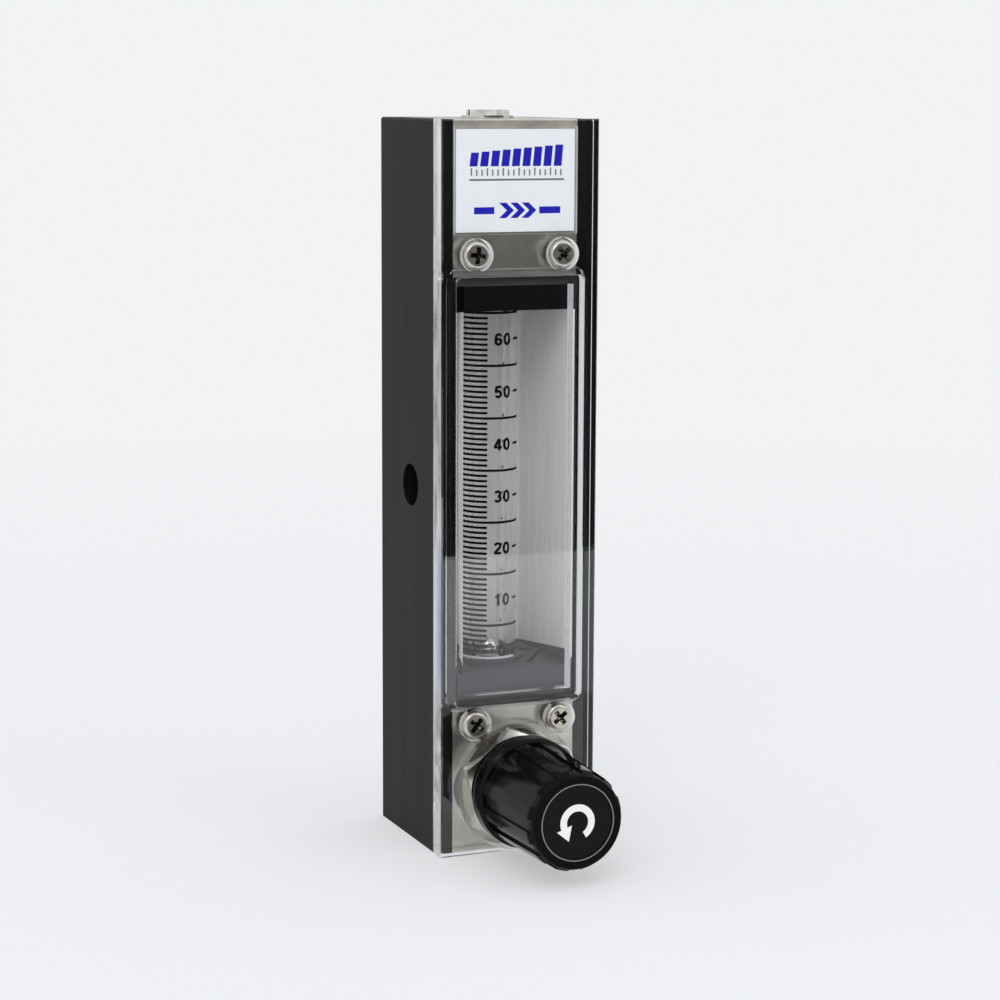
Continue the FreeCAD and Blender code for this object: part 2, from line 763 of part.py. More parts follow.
def make_spindle():
    top = body_height
    head = prism(hexagon(spindle_head_flats, 20), at(0, 0, top + spindle_flange_height), UP,
                 spindle_head_height)
    solid = rod(spindle_flange_radius, at(0, 0, top), UP, spindle_flange_height).fuse(head)
    slot_floor = top + spindle_flange_height
    slot = box(-spindle_flange_radius, spindle_flange_radius, -spindle_slot_width / 2,
               spindle_slot_width / 2, slot_floor, slot_floor + 2 * spindle_head_height)
    solid = solid.cut(slot)
    solid = solid.fuse(rod(spindle_thread_radius, at(0, 0, top - spindle_thread_length), UP,
                           spindle_thread_length))
    seal_bottom = top - spindle_thread_length - spindle_seal_length
    solid = solid.fuse(rod(spindle_seal_radius - fit_gap, at(0, 0, seal_bottom), UP, spindle_seal_length))
    solid = solid.fuse(rod(spindle_stem_radius, at(0, 0, spindle_tip()), UP, seal_bottom - spindle_tip()))
    groove = ring(spindle_seal_radius, spindle_seal_radius - fit_gap - oring_section,
                  at(0, 0, seal_bottom + spindle_seal_length / 2 - oring_section), UP, 2 * oring_section)
    return solid.cut(groove)


def make_spindle_oring():
    section = oring_section / 2
    centre = body_height - spindle_thread_length - spindle_seal_length / 2
    return torus(spindle_seal_radius - fit_gap - section, section, at(0, 0, centre), UP)


def make_follower():
    solid = rod(follower_radius, at(0, 0, follower_bottom), UP, follower_height)
    socket_z = follower_bottom + follower_height - follower_socket_depth
    solid = solid.cut(rod(spindle_stem_radius + running_gap, at(0, 0, socket_z), UP, follower_socket_depth))
    solid = solid.cut(rod(gasket_bore, at(0, 0, follower_bottom), UP, follower_height / 5))
    circle = (spindle_stem_radius + gasket_bore) / 2 + follower_hole_radius
    for step in range(4):
        angle = math.pi * (step + 0.5) / 2
        place = at(circle * math.cos(angle), circle * math.sin(angle), follower_bottom)
        solid = solid.cut(rod(follower_hole_radius, place, UP, follower_height))
    return solid


PIECES = {
    "housing_channel": make_channel,
    "front_cover": make_cover,
    "window_box": make_window,
    "label_plate": make_label,
    "inlet_block": make_inlet_block,
    "outlet_block": make_outlet_block,
    "cover_screws": make_cover_screws,
    "body_screws": make_body_screws,
    "back_reflector": make_liner,
    "lower_seat": make_lower_seat,
    "upper_seat": make_upper_seat,
    "metering_tube": make_tube,
    "lower_gasket": make_lower_gasket,
    "upper_gasket": make_upper_gasket,
    "inlet_float_stop": make_inlet_stop,
    "outlet_float_stop": make_outlet_stop,
    "float_ball": make_float,
    "valve_bonnet": make_bonnet,
    "bonnet_oring": make_bonnet_oring,
    "valve_seat": make_valve_seat,
    "valve_stem": make_stem,
    "stem_clip": make_stem_clip,
    "stem_oring": make_stem_oring,
    "valve_needle": make_needle,
    "knob": make_knob,
    "knob_disc": make_knob_disc,
    "knob_set_screw": make_set_screw,
    "spindle_screw": make_spindle,
    "spindle_oring": make_spindle_oring,
    "spindle_follower": make_follower,
}

for name, make in PIECES.items():
    shape = make()
    shape.exportStep("parts/" + name + ".step")
    print(name, "solids", len(shape.Solids), "volume", round(shape.Volume, 3))
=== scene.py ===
"""Finish of a panel rotameter, laid out as an add-on.

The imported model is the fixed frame. Each operator gives one group of its pieces the material of the
real thing, or adds the marks that are printed on it. All positions are in metres, in the frame of
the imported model: +X right, +Y towards the ports, +Z up.
"""

import math

import bmesh
import bpy
from mathutils import Matrix, Vector


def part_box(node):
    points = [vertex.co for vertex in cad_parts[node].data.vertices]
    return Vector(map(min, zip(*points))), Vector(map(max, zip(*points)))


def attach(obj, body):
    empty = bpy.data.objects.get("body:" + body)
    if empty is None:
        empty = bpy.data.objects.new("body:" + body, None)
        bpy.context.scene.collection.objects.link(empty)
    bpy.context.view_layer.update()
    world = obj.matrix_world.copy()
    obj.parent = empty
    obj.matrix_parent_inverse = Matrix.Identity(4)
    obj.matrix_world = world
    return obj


bl_info = {
    "name": "Panel Rotameter Finish",
    "version": (1, 0, 0),
    "blender": (4, 5, 0),
    "location": "3D View > Sidebar > Rotameter",
    "description": "Materials, printed scale, label and studio for a panel rotameter",
    "category": "Object",
}

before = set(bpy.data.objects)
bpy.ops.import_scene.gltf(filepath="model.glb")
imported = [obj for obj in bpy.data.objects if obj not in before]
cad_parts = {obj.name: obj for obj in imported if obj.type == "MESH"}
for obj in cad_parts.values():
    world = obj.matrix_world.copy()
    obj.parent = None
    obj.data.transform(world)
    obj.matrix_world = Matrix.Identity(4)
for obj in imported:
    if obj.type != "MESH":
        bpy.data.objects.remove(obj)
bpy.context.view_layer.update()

MM = 0.001

# A face counts as turned along an axis from this share of its normal on
TURNED = 0.7

# A mix node has a set of sockets for each type, and these are the ones for numbers and for colours
NUMBER_A, NUMBER_B = 2, 3
COLOUR_A, COLOUR_B, MIXED_COLOUR = 6, 7, 2


def linear(hex_colour):
    """Linear RGBA of an sRGB hex colour."""
    parts = [int(hex_colour[start:start + 2], 16) / 255 for start in (1, 3, 5)]
    return tuple([part / 12.92 if part <= 0.04045 else ((part + 0.055) / 1.055) ** 2.4
                  for part in parts] + [1.0])


# Sizes and colours that a user would change
class RotameterScaleSettings(bpy.types.PropertyGroup):
    """The scale printed round the metering tube."""
    zero_height: bpy.props.FloatProperty(
        name="Zero height", description="Height of the scale's zero over the underside",
        default=36.7 * MM, unit="LENGTH", precision=5)
    division: bpy.props.FloatProperty(
        name="Division", description="Distance between neighbouring lines",
        default=1.0 * MM, min=0.2 * MM, unit="LENGTH", precision=5)
    divisions: bpy.props.IntProperty(
        name="Divisions", description="Number of divisions over zero", default=65, min=5, max=200)
    line_height: bpy.props.FloatProperty(
        name="Line height", description="Thickness of each printed line",
        default=0.46 * MM, unit="LENGTH", precision=5)
    digit_height: bpy.props.FloatProperty(
        name="Digit height", description="Height of the printed digits",
        default=2.35 * MM, unit="LENGTH", precision=5)
    short_start: bpy.props.FloatProperty(
        name="Line start",
        description="Angle at which every line starts, from straight ahead, positive to the right",
        default=math.radians(-88), unit="ROTATION")
    short_end: bpy.props.FloatProperty(
        name="Short line end", description="Angle at which a short line ends",
        default=math.radians(-23.5), unit="ROTATION")
    long_end: bpy.props.FloatProperty(
        name="Long line end", description="Angle at which a long line ends",
        default=math.radians(64), unit="ROTATION")
    digit_angle: bpy.props.FloatProperty(
        name="Digit angle", description="Angle of the middle of the digits",
        default=math.radians(8), unit="ROTATION")
    ink: bpy.props.FloatVectorProperty(
        name="Ink", description="Colour of the fired ink", subtype="COLOR", size=4,
        min=0, max=1, default=linear("#060607"))


class RotameterLabelSettings(bpy.types.PropertyGroup):
    """The label behind the cover."""
    film: bpy.props.FloatVectorProperty(
        name="Film", description="Colour of the label's film", subtype="COLOR", size=4,
        min=0, max=1, default=linear("#f2f3f7"))
    blue: bpy.props.FloatVectorProperty(
        name="Blue ink", description="Colour of the label's bold marks", subtype="COLOR", size=4,
        min=0, max=1, default=linear("#0708b4"))
    grey: bpy.props.FloatVectorProperty(
        name="Grey ink", description="Colour of the label's thin marks", subtype="COLOR", size=4,
        min=0, max=1, default=linear("#77777b"))
    bar_height: bpy.props.FloatProperty(
        name="Bar height", description="Height of the upper row of blue bars",
        default=3.9 * MM, unit="LENGTH", precision=5)


class RotameterFinishSettings(bpy.types.PropertyGroup):
    """Colours of the housing, the clear front, the metal and the knob."""
    anodising: bpy.props.FloatVectorProperty(
        name="Anodising", description="Colour of the housing channel", subtype="COLOR", size=4,
        min=0, max=1, default=linear("#101011"))
    acrylic: bpy.props.FloatVectorProperty(
        name="Acrylic", description="Colour of the clear cover", subtype="COLOR", size=4,
        min=0, max=1, default=linear("#fdfefe"))
    tray: bpy.props.FloatVectorProperty(
        name="Window", description="Colour of the moulded window", subtype="COLOR", size=4,
        min=0, max=1, default=linear("#fdfdfe"))
    steel: bpy.props.FloatVectorProperty(
        name="Stainless steel", description="Colour of the end blocks", subtype="COLOR", size=4,
        min=0, max=1, default=linear("#cec9c0"))
    knob: bpy.props.FloatVectorProperty(
        name="Knob", description="Colour of the knob's plastic", subtype="COLOR", size=4,
        min=0, max=1, default=linear("#0d0d0e"))
    liner: bpy.props.FloatVectorProperty(
        name="Liner", description="Colour of the sheet behind the tube", subtype="COLOR", size=4,
        min=0, max=1, default=linear("#f0efec"))


class RotameterStageSettings(bpy.types.PropertyGroup):
    """Floor, light and camera."""
    backdrop: bpy.props.FloatVectorProperty(
        name="Backdrop", description="Colour of the floor and of what lies behind it", subtype="COLOR",
        size=4, min=0, max=1, default=linear("#f1f3f5"))
    camera_place: bpy.props.FloatVectorProperty(
        name="Camera", description="Place of the camera", size=3, subtype="TRANSLATION", unit="LENGTH",
        default=(-0.1915, -0.4613, 0.1434), precision=4)
    yaw: bpy.props.FloatProperty(
        name="Yaw", description="Turn of the view from straight ahead towards the right",
        default=math.radians(22.847), unit="ROTATION")
    pitch: bpy.props.FloatProperty(
        name="Pitch", description="Tilt of the view below the horizon",
        default=math.radians(8.905), unit="ROTATION")
    roll: bpy.props.FloatProperty(
        name="Roll", description="Turn of the camera about its view", default=math.radians(0.248),
        unit="ROTATION")
    lens: bpy.props.FloatProperty(
        name="Lens", description="Focal length on a 36 mm sensor",
        default=94.5, subtype="DISTANCE_CAMERA")
    table_edge: bpy.props.FloatProperty(
        name="Table edge",
        description="How far in front of the origin the pale table ends in reflections",
        default=0.3, unit="LENGTH")


# Small helpers
def add_node(tree, kind, inputs=None, **settings):
    """Adds a node. inputs gives a socket its value, or the node or (node, output) that feeds it."""
    item = tree.nodes.new(kind)
    for name, value in settings.items():
        setattr(item, name, value)
    for socket, value in (inputs or {}).items():
        if isinstance(value, bpy.types.Node):
            value = value, 0
        if isinstance(value, tuple) and isinstance(value[0], bpy.types.Node):
            source, output = value
            tree.links.new(source.outputs[output], item.inputs[socket])
        else:
            item.inputs[socket].default_value = value
    return item


def new_material(name):
    """An empty node material and its tree."""
    material = bpy.data.materials.new(name)
    material.use_nodes = True
    material.node_tree.nodes.clear()
    return material, material.node_tree


def shade(colour, factor):
    """A darker or lighter shade of a colour."""
    return tuple(min(1.0, part * factor) for part in colour[:3]) + (1.0,)


def set_stops(ramp, *stops):
    """Gives a colour ramp its stops: a position each, and a colour or the level of a grey."""
    elements = ramp.color_ramp.elements
    for _ in stops[2:]:
        elements.new(0.5)
    for element, (position, colour) in zip(elements, stops):
        element.position = position
        element.color = (colour,) * 3 + (1.0,) if isinstance(colour, float) else colour


def real_grain(tree, size, detail, lean=0.0):
    """Noise with grains of a real size, one length or (x, y, z), that can lean about Y."""
    lengths = size if isinstance(size, tuple) else (size,) * 3
    place = add_node(tree, "ShaderNodeTexCoord")
    scaled = add_node(tree, "ShaderNodeMapping", {
        "Vector": (place, "Object"), "Rotation": (0.0, lean, 0.0),
        "Scale": tuple(1 / length for length in lengths)})
    return add_node(tree, "ShaderNodeTexNoise", {"Vector": scaled, "Scale": 1.0, "Detail": detail})


def place_parts(tree):
    """X, Y and Z of the place on the object."""
    place = add_node(tree, "ShaderNodeTexCoord")
    return add_node(tree, "ShaderNodeSeparateXYZ", {"Vector": (place, "Object")})


def either_side(tree, value, middle=0.0):
    """How much a value differs from a middle, to either side."""
    difference = add_node(tree, "ShaderNodeMath", {0: value, 1: middle}, operation="SUBTRACT")
    return add_node(tree, "ShaderNodeMath", {0: difference}, operation="ABSOLUTE")


def turned(tree, axis):
    """How far the surface faces along an axis, either way, from 0 to 1."""
    facing = add_node(tree, "ShaderNodeNewGeometry")
    normal = add_node(tree, "ShaderNodeSeparateXYZ", {"Vector": (facing, "Normal")})
    return either_side(tree, (normal, axis))


def where(tree, tests, *shares):
    """1 where all tests of (value, comparison, limit) hold, times any shares from 0 to 1."""
    results = [add_node(tree, "ShaderNodeMath", {0: value, 1: limit}, operation=comparison)
               for value, comparison, limit in tests]
    whole, *others = results + list(shares)
    for share in others:
        whole = add_node(tree, "ShaderNodeMath", {0: whole, 1: share}, operation="MULTIPLY")
    return whole


def dress(material, *names):
    """Gives CAD nodes a material in every slot."""
    for name in names:
        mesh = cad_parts[name].data
        if not mesh.materials:
            mesh.materials.append(material)
        for index in range(len(mesh.materials)):
            mesh.materials[index] = material


def add_piece(name, shape, body, material):
    """A new piece of the object that rides on a body and takes its finish from a slot."""
    mesh = mesh_from(shape, name)
    piece = bpy.data.objects.new(name, mesh)
    bpy.context.scene.collection.objects.link(piece)
    mesh.materials.append(material)
    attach(piece, body)


def mesh_from(shape, name):
    """A mesh from a bmesh, with its faces turned outwards."""
    bmesh.ops.recalc_face_normals(shape, faces=shape.faces)
    mesh = bpy.data.meshes.new(name)
    shape.to_mesh(mesh)
    shape.free()
    return mesh


def prism_in_front(shape, outline, y_back, thickness):
    """Adds to a bmesh a thin prism with an outline of (x, z) points, standing towards -Y."""
    back = [shape.verts.new((x, y_back, z)) for x, z in outline]
    front = [shape.verts.new((x, y_back - thickness, z)) for x, z in outline]
    shape.faces.new(front)
    shape.faces.new(list(reversed(back)))
    count = len(outline)
    for index in range(count):
        after = (index + 1) % count
        shape.faces.new((back[index], back[after], front[after], front[index]))


def bar_in_front(shape, left, right, bottom, top, y_back, thickness, lean=0.0):
    """Adds to a bmesh a thin upright bar; lean moves its top towards the right."""
    outline = ((left, bottom), (right, bottom), (right + lean, top), (left + lean, top))
    prism_in_front(shape, outline, y_back, thickness)


# Materials
def black_anodised_aluminium(settings):
    """Extruded aluminium, dyed black in the anodising bath: satin, with the die's fine vertical lines."""
    material, tree = new_material("black_anodised_aluminium")
    # Die lines 30 mm long. Real ones are 0.1 mm apart; 0.25 mm is as fine as shows
    lines = real_grain(tree, (0.25 * MM, 0.25 * MM, 30 * MM), 3.0)
    # Broad bands of the dye, 6 mm across
    bands = real_grain(tree, (6 * MM, 4 * MM, 60 * MM), 2.0)
    both = add_node(tree, "ShaderNodeMix", {
        "Factor": 0.5, NUMBER_A: lines, NUMBER_B: bands})
    tint = add_node(tree, "ShaderNodeValToRGB", {"Fac": both})
    set_stops(tint, (0.35, shade(settings.anodising, 0.35)), (0.65, shade(settings.anodising, 1.9)))
    rough = add_node(tree, "ShaderNodeMapRange", {"Value": lines, "To Min": 0.38, "To Max": 0.52})
    bump = add_node(tree, "ShaderNodeBump", {"Height": lines, "Strength": 0.5, "Distance": 0.03 * MM})
    shader = add_node(tree, "ShaderNodeBsdfPrincipled", {
        "Base Color": tint, "Roughness": rough, "Normal": bump, "IOR": 1.5, "Specular IOR Level": 0.07})
    add_node(tree, "ShaderNodeOutputMaterial", {"Surface": shader})
    return material


def clear_plastic(name, colour, ior, wave_size, wave_depth, frost=None):
    """Clear plastic or glass: polished to within a slow wave, and dull where frost says so.

    frost gives how dull the surface is, from 0 to 1, and the colour that it then has."""
    material, tree = new_material(name)
    wave = real_grain(tree, wave_size, 1.0)
    bump = add_node(tree, "ShaderNodeBump", {"Height": wave, "Strength": 0.15, "Distance": wave_depth})
    finish = {"Base Color": colour, "Transmission Weight": 1.0, "IOR": ior, "Roughness": 0.0,
              "Normal": bump}
    if frost:
        dull, tint = frost(tree, colour)
        finish["Base Color"] = tint
        finish["Roughness"] = add_node(tree, "ShaderNodeMapRange", {
            "Value": dull, "To Min": 0.0, "To Max": 0.35})
        finish["Transmission Weight"] = add_node(tree, "ShaderNodeMapRange", {
            "Value": dull, "To Min": 1.0, "To Max": 0.2})
    shader = add_node(tree, "ShaderNodeBsdfPrincipled", finish)
    if frost:
        # A dull wall is lit from inside the sheet too
        lit = add_node(tree, "ShaderNodeBsdfTranslucent", {"Color": tint})
        share = add_node(tree, "ShaderNodeMapRange", {"Value": dull, "To Max": 0.8})
        shader = add_node(tree, "ShaderNodeMixShader", {0: share, 1: shader, 2: lit})
    # Light reaches what lies behind, as it does through the real thing, without bending
    path = add_node(tree, "ShaderNodeLightPath")
    passing = add_node(tree, "ShaderNodeMath", {0: (path, "Is Shadow Ray"), 1: (path, "Is Diffuse Ray")},
                       operation="MAXIMUM")
    through = add_node(tree, "ShaderNodeBsdfTransparent", {"Color": colour})
    mixed = add_node(tree, "ShaderNodeMixShader", {0: passing, 1: shader, 2: through})
    add_node(tree, "ShaderNodeOutputMaterial", {"Surface": mixed})
    return material


def milled_walls(tree, colour):
    """The cover's dull places: the walls of its round holes and its sawn left edge."""
    low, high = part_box("front_cover")
    window_low, window_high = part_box("window_box")
    valve_low, valve_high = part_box("valve_bonnet")
    # The sheet's outer edges are polished, so walls this close to them are left clear
    margin = 0.4 * MM
    place = place_parts(tree)
    wall = turned(tree, "Y"), "LESS_THAN", TURNED
    across = either_side(tree, (place, "X"))
    from_window = either_side(tree, (place, "Z"), (window_low.z + window_high.z) / 2)
    # The valve's hole, 13.2 mm in radius, is bored smoother than the screws'
    valve = (valve_low + valve_high) / 2
    flat = add_node(tree, "ShaderNodeCombineXYZ", {"X": (place, "X"), "Z": (place, "Z")})
    from_valve = add_node(tree, "ShaderNodeVectorMath", {0: flat, 1: (valve.x, 0.0, valve.z)},
                          operation="DISTANCE")
    bored = add_node(tree, "ShaderNodeMapRange", {
        "Value": (from_valve, "Value"), "From Min": 13.2 * MM, "From Max": 13.4 * MM, "To Min": 0.2})
    holes = where(tree, (
        wall,
        (across, "LESS_THAN", high.x - margin),
        (from_window, "GREATER_THAN", (window_high.z - window_low.z) / 2),
        ((place, "Z"), "GREATER_THAN", low.z + margin),
        ((place, "Z"), "LESS_THAN", high.z - margin)), bored)
    # Saw marks across the left edge: 1.5 mm wide in the sheet's depth, 9 mm high
    sawn = (place, "X"), "LESS_THAN", low.x + 0.2 * MM
    marks = real_grain(tree, (MM, 1.5 * MM, 9 * MM), 3.0)
    spread = add_node(tree, "ShaderNodeMapRange", {
        "Value": marks, "From Min": 0.35, "From Max": 0.65, "To Min": 0.35, "To Max": 0.95})
    # The saw left the edge smoother in two stretches, and the smoother the darker
    height = add_node(tree, "ShaderNodeMapRange", {
        "Value": (place, "Z"), "From Min": low.z, "From Max": high.z})
    stretches = add_node(tree, "ShaderNodeValToRGB", {"Fac": height})
    set_stops(stretches, (0.02, 1.0), (0.09, 0.35), (0.17, 0.55), (0.25, 1.0), (0.42, 1.0), (0.5, 0.45),
              (0.74, 0.4), (0.82, 1.0))
    edge = where(tree, (sawn, wall), spread, stretches)
    dull = add_node(tree, "ShaderNodeMath", {0: holes, 1: edge}, operation="MAXIMUM")
    # The front half of the edge turns a faint blue between a fifth and half of its height
    blue = add_node(tree, "ShaderNodeValToRGB", {"Fac": height})
    set_stops(blue, (0.19, 0.0), (0.27, 1.0), (0.4, 1.0), (0.46, 0.0))
    middle = (low.y + high.y) / 2
    front = add_node(tree, "ShaderNodeMapRange", {
        "Value": (place, "Y"), "From Min": middle + 0.3 * MM, "From Max": middle - 1.2 * MM})
    tint = add_node(tree, "ShaderNodeMix", {
        "Factor": where(tree, (sawn,), blue, front), COLOUR_A: colour, COLOUR_B: linear("#bcc0ec")},
        data_type="RGBA")
    return dull, (tint, MIXED_COLOUR)


def textured_side(tree, colour):
    """The window's dull place: its right outer side, where the mould parts."""
    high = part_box("window_box")[1]
    side_width = 1.3 * MM
    side = (place_parts(tree), "X"), "GREATER_THAN", high.x - side_width
    return where(tree, ((turned(tree, "X"), "GREATER_THAN", TURNED), side)), colour


def brushed_stainless_steel(settings):
    """Stainless bar, milled and brushed up and down: warm grey with fine scratches."""
    material, tree = new_material("brushed_stainless_steel")
    # Brush marks 8 mm long, as of 180 grit but drawn 0.15 mm wide so that they show, and handling
    # marks 5 mm across
    brush = real_grain(tree, (0.15 * MM, 0.15 * MM, 8 * MM), 4.0)
    stain = real_grain(tree, 5 * MM, 3.0)
    tint = add_node(tree, "ShaderNodeValToRGB", {"Fac": stain})
    set_stops(tint, (0.3, shade(settings.steel, 0.82)), (0.7, shade(settings.steel, 1.08)))
    rough = add_node(tree, "ShaderNodeMapRange", {"Value": brush, "To Min": 0.24, "To Max": 0.4})
    # The upper block's top 2 mm are blasted, and scatter more light
    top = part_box("outlet_block")[1].z
    blasted = add_node(tree, "ShaderNodeMapRange", {
        "Value": (place_parts(tree), "Z"), "From Min": top - 2.3 * MM, "From Max": top - 2.0 * MM,
        "To Max": 0.45})
    rough = add_node(tree, "ShaderNodeMath", {0: rough, 1: blasted}, operation="ADD")
    bump = add_node(tree, "ShaderNodeBump", {"Height": brush, "Strength": 0.25, "Distance": 0.01 * MM})
    shader = add_node(tree, "ShaderNodeBsdfPrincipled", {
        "Base Color": tint, "Metallic": 1.0, "Roughness": rough, "Normal": bump})
    add_node(tree, "ShaderNodeOutputMaterial", {"Surface": shader})
    return material


def turned_steel(name, colour, roughness, ring_width, stain=0.15):
    """Turned or pressed steel with the tool's fine marks; stain is how much darker its low places are.

    Real marks are 0.05 mm apart, and ring_width is as coarse as they need to be to show."""
    material, tree = new_material(name)
    marks = real_grain(tree, ring_width, 3.0)
    tint = add_node(tree, "ShaderNodeValToRGB", {"Fac": marks})
    set_stops(tint, (0.3, shade(colour, 1 - stain)), (0.7, colour))
    rough = add_node(tree, "ShaderNodeMapRange", {
        "Value": marks, "To Min": roughness * 0.8, "To Max": roughness * 1.25})
    bump = add_node(tree, "ShaderNodeBump", {"Height": marks, "Strength": 0.15, "Distance": 0.01 * MM})
    shader = add_node(tree, "ShaderNodeBsdfPrincipled", {
        "Base Color": tint, "Metallic": 1.0, "Roughness": rough, "Normal": bump})
    add_node(tree, "ShaderNodeOutputMaterial", {"Surface": shader})
    return material


def screw_steel(colour, recess_dirt_and_shade):
    """Bright stainless screws, their cross recesses darkened by oil and dirt and by painted shade."""
    material, tree = new_material("bright_stainless_screw")
    low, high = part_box("cover_screws")
    head_radius = 2.5 * MM
    recess_radius = 1.65 * MM
    # Each screw's axis lies a head's radius inside the box round the four of them
    place = place_parts(tree)
    across = either_side(tree, (place, "X"))
    along = either_side(tree, (place, "Z"), (low.z + high.z) / 2)
    spot = add_node(tree, "ShaderNodeCombineXYZ", {"X": across, "Z": along})
    axis = high.x - head_radius, 0.0, (high.z - low.z) / 2 - head_radius
    radius = add_node(tree, "ShaderNodeVectorMath", {0: spot, 1: axis}, operation="DISTANCE")
    deep = add_node(tree, "ShaderNodeMapRange", {
        "Value": (place, "Y"), "From Min": low.y + 0.02 * MM, "From Max": low.y + 0.3 * MM})
    # Bare steel shows through the dirt and painted shade in patches 0.5 mm across
    marks = real_grain(tree, 0.5 * MM, 3.0)
    patches = add_node(tree, "ShaderNodeMapRange", {
        "Value": marks, "From Min": 0.42, "From Max": 0.5, "To Min": 0.35})
    # The recesses are painted dark: dirt, and painted shade where light doesn't reach in
    dirt_and_shade_mask = where(tree, (((radius, "Value"), "LESS_THAN", recess_radius),), deep, patches)
    tint = add_node(tree, "ShaderNodeMix", {"Factor": dirt_and_shade_mask, COLOUR_A: colour, COLOUR_B: recess_dirt_and_shade},
                    data_type="RGBA")
    rough = add_node(tree, "ShaderNodeMapRange", {"Value": marks, "To Min": 0.22, "To Max": 0.4})
    bump = add_node(tree, "ShaderNodeBump", {"Height": marks, "Strength": 0.15, "Distance": 0.01 * MM})
    shader = add_node(tree, "ShaderNodeBsdfPrincipled", {
        "Base Color": (tint, MIXED_COLOUR), "Metallic": 1.0, "Roughness": rough, "Normal": bump})
    add_node(tree, "ShaderNodeOutputMaterial", {"Surface": shader})
    return material


def moulded_plastic(name, colour, roughness, grain_size, grain_depth, specular=0.5, mottle=0.1,
                    painted_shading_and_wear=None):
    """Moulded plastic with the fine grain that the mould's spark erosion leaves.

    Real grain is 0.05 mm across, and grain_size is as coarse as it needs to be to show. The last
    argument gives an axis, where a band along it starts and ends, the band's colour, which is painted light
    or shade, and its roughness."""
    material, tree = new_material(name)
    grain = real_grain(tree, grain_size, 4.0)
    tint = add_node(tree, "ShaderNodeValToRGB", {"Fac": grain})
    set_stops(tint, (0.3, shade(colour, 1 - mottle)), (0.7, shade(colour, 1 + mottle)))
    rough = add_node(tree, "ShaderNodeMapRange", {
        "Value": grain, "To Min": roughness * 0.85, "To Max": roughness * 1.15})
    # A band along the axis takes a colour of painted light or shade, and its own roughness
    if painted_shading_and_wear:
        axis, start, end, painted_shading_colour, band_roughness = painted_shading_and_wear
        share = add_node(tree, "ShaderNodeMapRange", {
            "Value": (place_parts(tree), axis), "From Min": start, "From Max": end})
        tint = add_node(tree, "ShaderNodeMix", {"Factor": share, COLOUR_A: tint, COLOUR_B: painted_shading_colour},
                        data_type="RGBA"), MIXED_COLOUR
        rough = add_node(tree, "ShaderNodeMix", {
            "Factor": share, NUMBER_A: rough, NUMBER_B: band_roughness})
    bump = add_node(tree, "ShaderNodeBump", {"Height": grain, "Strength": 0.2, "Distance": grain_depth})
    shader = add_node(tree, "ShaderNodeBsdfPrincipled", {
        "Base Color": tint, "Roughness": rough, "Normal": bump, "IOR": 1.5,
        "Specular IOR Level": specular})
    add_node(tree, "ShaderNodeOutputMaterial", {"Surface": shader})
    return material


def two_sided_liner(settings):
    """Satin sheet, light inside and black on the outside where the side holes show it."""
    material, tree = new_material("satin_liner_sheet")
    # Faint upright scratches, 1.2 mm apart and 14 mm long, leaning a little
    scratch = real_grain(tree, (1.2 * MM, 1.2 * MM, 14 * MM), 2.0, math.radians(14))
    inside = add_node(tree, "ShaderNodeValToRGB", {"Fac": scratch})
    set_stops(inside, (0.3, shade(settings.liner, 0.93)), (0.72, shade(settings.liner, 1.03)))
    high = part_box("back_reflector")[1]
    across = either_side(tree, (place_parts(tree), "X"))
    outside = where(tree, ((across, "GREATER_THAN", high.x - 0.1 * MM),))
    tint = add_node(tree, "ShaderNodeMix", {
        "Factor": outside, COLOUR_A: inside, COLOUR_B: linear("#0b0b0c")}, data_type="RGBA")
    shader = add_node(tree, "ShaderNodeBsdfPrincipled", {
        "Base Color": (tint, MIXED_COLOUR), "Roughness": 0.45, "IOR": 1.46, "Specular IOR Level": 0.4})
    add_node(tree, "ShaderNodeOutputMaterial", {"Surface": shader})
    return material


def rimmed_disc(colour, rim_colour, low, high):
    """Disc of brown-black lacquered film in a bright metal rim."""
    material, tree = new_material("lacquered_black_disc")
    rim_width = 0.22 * MM
    centre = (low + high) / 2
    place = place_parts(tree)
    flat = add_node(tree, "ShaderNodeCombineXYZ", {"X": (place, "X"), "Z": (place, "Z")})
    radius = add_node(tree, "ShaderNodeVectorMath", {0: flat, 1: (centre.x, 0.0, centre.z)},
                      operation="DISTANCE")
    rim = where(tree, (((radius, "Value"), "GREATER_THAN", (high.x - low.x) / 2 - rim_width),))
    tint = add_node(tree, "ShaderNodeMix", {"Factor": rim, COLOUR_A: colour, COLOUR_B: rim_colour},
                    data_type="RGBA")
    # Orange peel of the lacquer, 1 mm across
    peel = real_grain(tree, MM, 2.0)
    bump = add_node(tree, "ShaderNodeBump", {"Height": peel, "Strength": 0.1, "Distance": 0.005 * MM})
    shader = add_node(tree, "ShaderNodeBsdfPrincipled", {
        "Base Color": (tint, MIXED_COLOUR), "Metallic": rim, "Roughness": 0.3, "Normal": bump,
        "IOR": 1.5, "Specular IOR Level": 0.12})
    add_node(tree, "ShaderNodeOutputMaterial", {"Surface": shader})
    return material


def printed_ink(name, colour, roughness, specular=0.3):
    """Opaque ink with a faint unevenness of the print, 0.3 mm across."""
    material, tree = new_material(name)
    mottle = real_grain(tree, 0.3 * MM, 1.0)
    tint = add_node(tree, "ShaderNodeValToRGB", {"Fac": mottle})
    set_stops(tint, (0.0, shade(colour, 0.9)), (1.0, shade(colour, 1.08)))
    shader = add_node(tree, "ShaderNodeBsdfPrincipled", {
        "Base Color": tint, "Roughness": roughness, "IOR": 1.5, "Specular IOR Level": specular})
    add_node(tree, "ShaderNodeOutputMaterial", {"Surface": shader})
    return material


